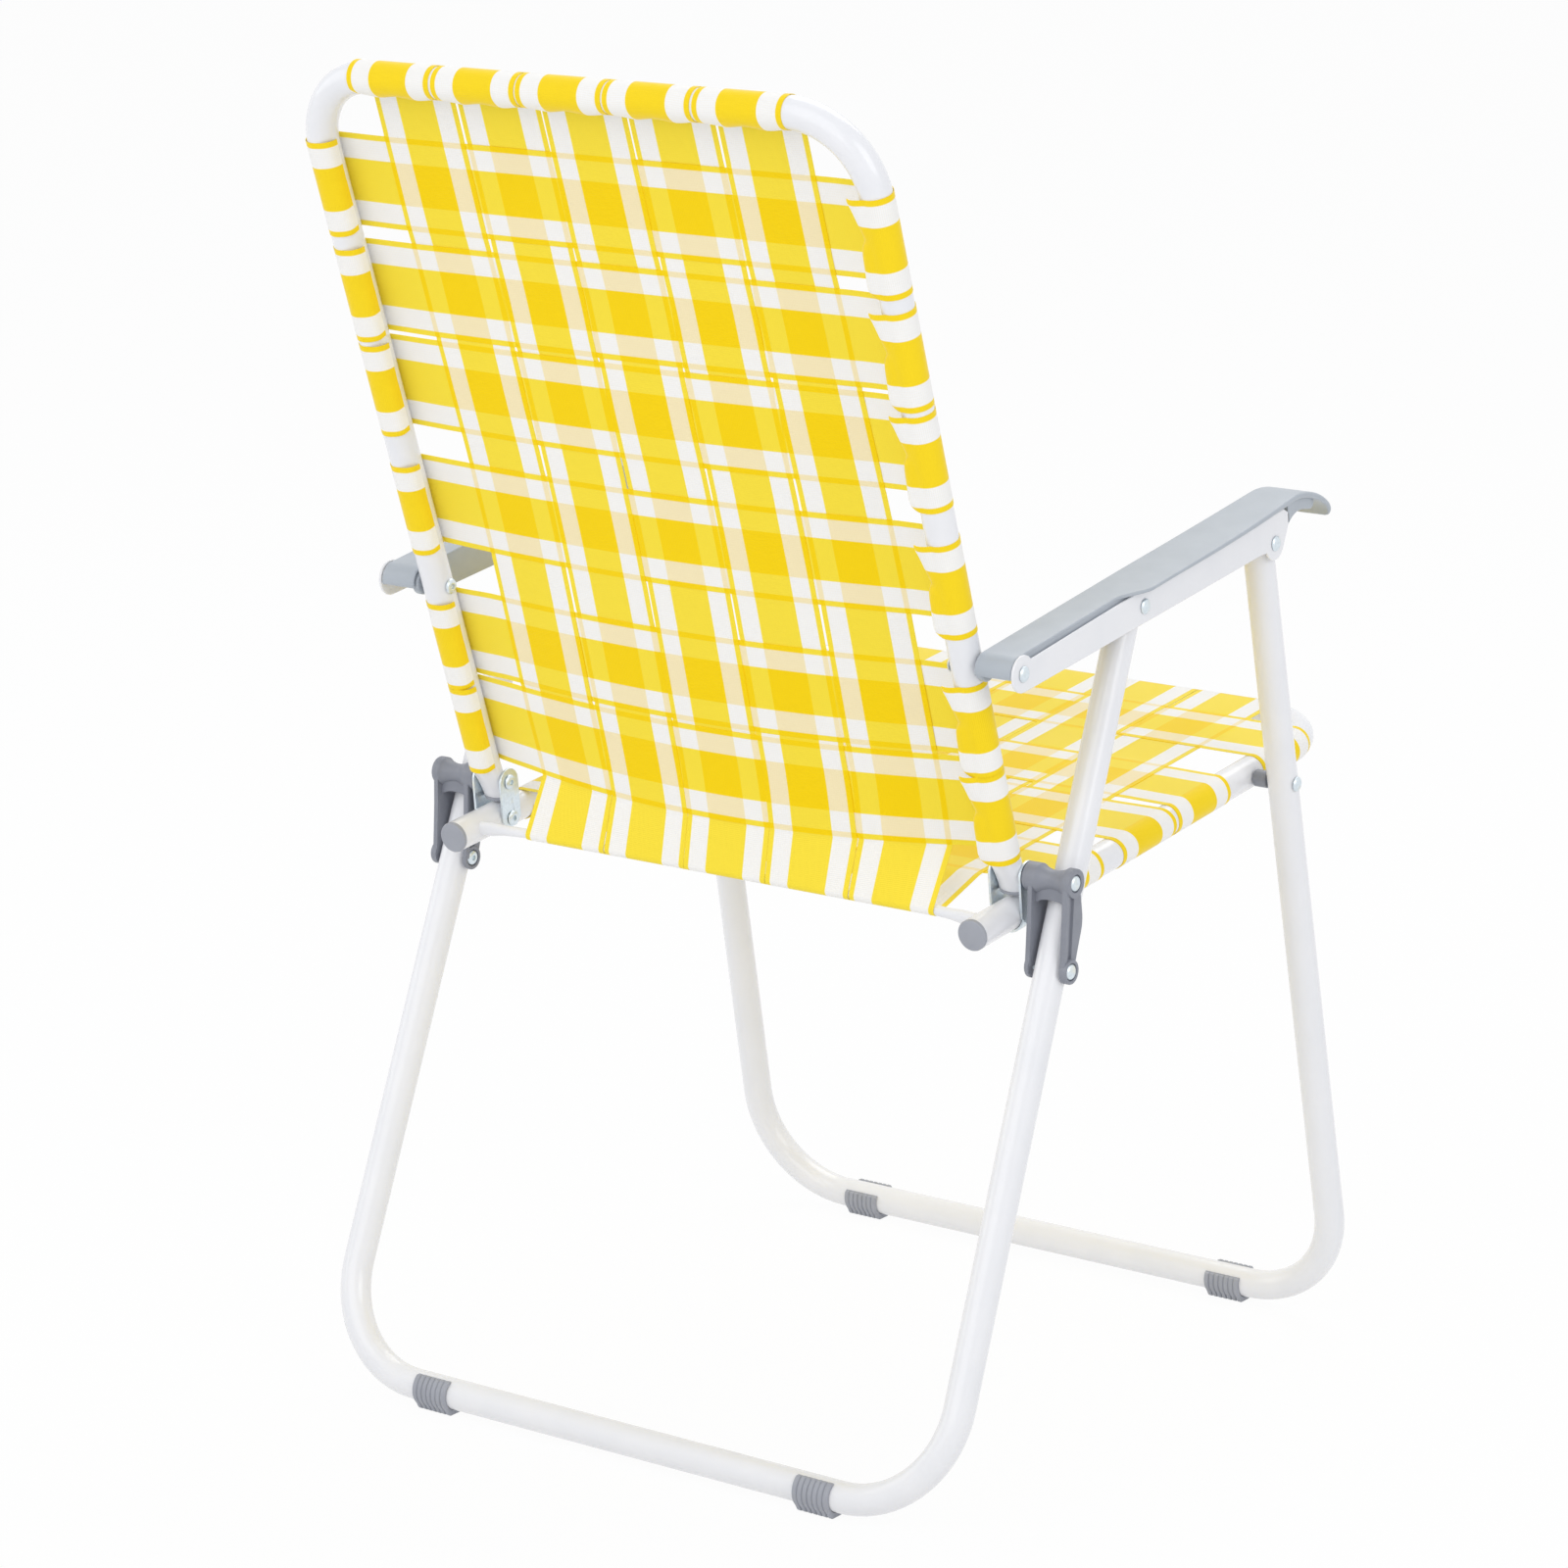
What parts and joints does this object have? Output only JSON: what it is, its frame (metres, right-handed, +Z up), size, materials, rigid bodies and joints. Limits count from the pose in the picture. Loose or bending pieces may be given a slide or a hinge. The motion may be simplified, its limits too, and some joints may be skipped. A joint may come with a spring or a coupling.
{
  "type": "folding lawn chair",
  "caption": "Folding lawn chair of bent white tube with a woven webbing seat and back, plastic arm pads, pressed arms and folding links; it folds flat about riveted pivots.",
  "frame": {"origin": "on the floor under the middle of the chair's outline", "axes": "+Z up, -Y the way the sitter faces, +X toward the sitter's left"},
  "size_m": [0.48, 0.544, 0.8285],
  "materials": {
    "white_paint": "gloss white powder coat",
    "zinc": "bright zinc plate",
    "link_plastic": "moulded gray",
    "cap_plastic": "moulded light gray",
    "pad_plastic": "moulded pale gray",
    "webbing": "woven yellow and white stripe"
  },
  "bodies": {
    "seat": {"seat_frame": "white_paint", "seat_end_cap_left": "cap_plastic", "seat_end_cap_right": "cap_plastic", "hinge_plate_inner_left": "zinc", "hinge_plate_inner_right": "zinc", "hinge_plate_outer_left": "zinc", "hinge_plate_outer_right": "zinc", "hinge_rivet_left": "zinc", "hinge_rivet_right": "zinc", "seat_plate_rivet_left": "zinc", "seat_plate_rivet_right": "zinc", "seat_leg_spacer_left": "link_plastic", "seat_leg_spacer_right": "link_plastic", "seat_leg_rivet_left": "zinc", "seat_leg_rivet_right": "zinc", "seat_lengthwise_strap_1": "webbing", "seat_lengthwise_strap_2": "webbing", "seat_lengthwise_strap_3": "webbing", "seat_lengthwise_strap_4": "webbing", "seat_lengthwise_strap_5": "webbing", "seat_cross_strap_1": "webbing", "seat_cross_strap_2": "webbing", "seat_cross_strap_3": "webbing", "seat_cross_strap_4": "webbing"},
    "back": {"back_frame": "white_paint", "back_end_plug_left": "link_plastic", "back_end_plug_right": "link_plastic", "arm_back_rivet_left": "zinc", "arm_back_rivet_right": "zinc", "back_lengthwise_strap_1": "webbing", "back_lengthwise_strap_2": "webbing", "back_lengthwise_strap_3": "webbing", "back_lengthwise_strap_4": "webbing", "back_lengthwise_strap_5": "webbing", "back_cross_strap_1": "webbing", "back_cross_strap_2": "webbing", "back_cross_strap_3": "webbing", "back_cross_strap_4": "webbing", "back_cross_strap_5": "webbing", "back_cross_strap_6": "webbing"},
    "arms": {"arm_channel_left": "white_paint", "arm_channel_right": "white_paint", "arm_pad_left": "pad_plastic", "arm_pad_right": "pad_plastic", "arm_rear_leg_rivet_left": "zinc", "arm_rear_leg_rivet_right": "zinc", "arm_front_leg_rivet_left": "zinc", "arm_front_leg_rivet_right": "zinc"},
    "front_leg": {"front_leg_frame": "white_paint", "front_foot_left": "cap_plastic", "front_foot_right": "cap_plastic"},
    "rear_leg": {"rear_leg_frame": "white_paint", "rear_foot_left": "cap_plastic", "rear_foot_right": "cap_plastic"},
    "links": {"folding_link_left": "link_plastic", "folding_link_right": "link_plastic", "link_outer_rivet_left": "zinc", "link_outer_rivet_right": "zinc", "link_inner_rivet_left": "zinc", "link_inner_rivet_right": "zinc"}
  },
  "joints": [
    {"name": "back_fold", "type": "hinge", "parent": "seat", "child": "back", "pos_m": [0, 0.10108, 0.366], "axis": [1, 0, 0], "range_deg": [0, 94]},
    {"name": "arm_fold", "type": "hinge", "parent": "back", "child": "arms", "pos_m": [0, 0.15178, 0.498], "axis": [1, 0, 0], "range_deg": [-89.3, 0]},
    {"name": "front_leg_fold", "type": "hinge", "parent": "seat", "child": "front_leg", "pos_m": [0, -0.15735, 0.37234], "axis": [1, 0, 0], "range_deg": [0, 85.8]},
    {"name": "rear_leg_fold", "type": "hinge", "parent": "arms", "child": "rear_leg", "pos_m": [0, 0.02408, 0.515], "axis": [1, 0, 0], "range_deg": [0, 47.1]},
    {"name": "link_fold", "type": "hinge", "parent": "seat", "child": "links", "pos_m": [0, 0.10108, 0.366], "axis": [1, 0, 0], "range_deg": [-80.9, 0]}
  ],
  "couplings": [
    {"joint": "arm_fold", "follows": "back_fold", "ratio": -0.9482},
    {"joint": "front_leg_fold", "follows": "back_fold", "ratio": 0.9117},
    {"joint": "rear_leg_fold", "follows": "back_fold", "ratio": 0.5},
    {"joint": "link_fold", "follows": "back_fold", "ratio": -0.86}
  ]
}
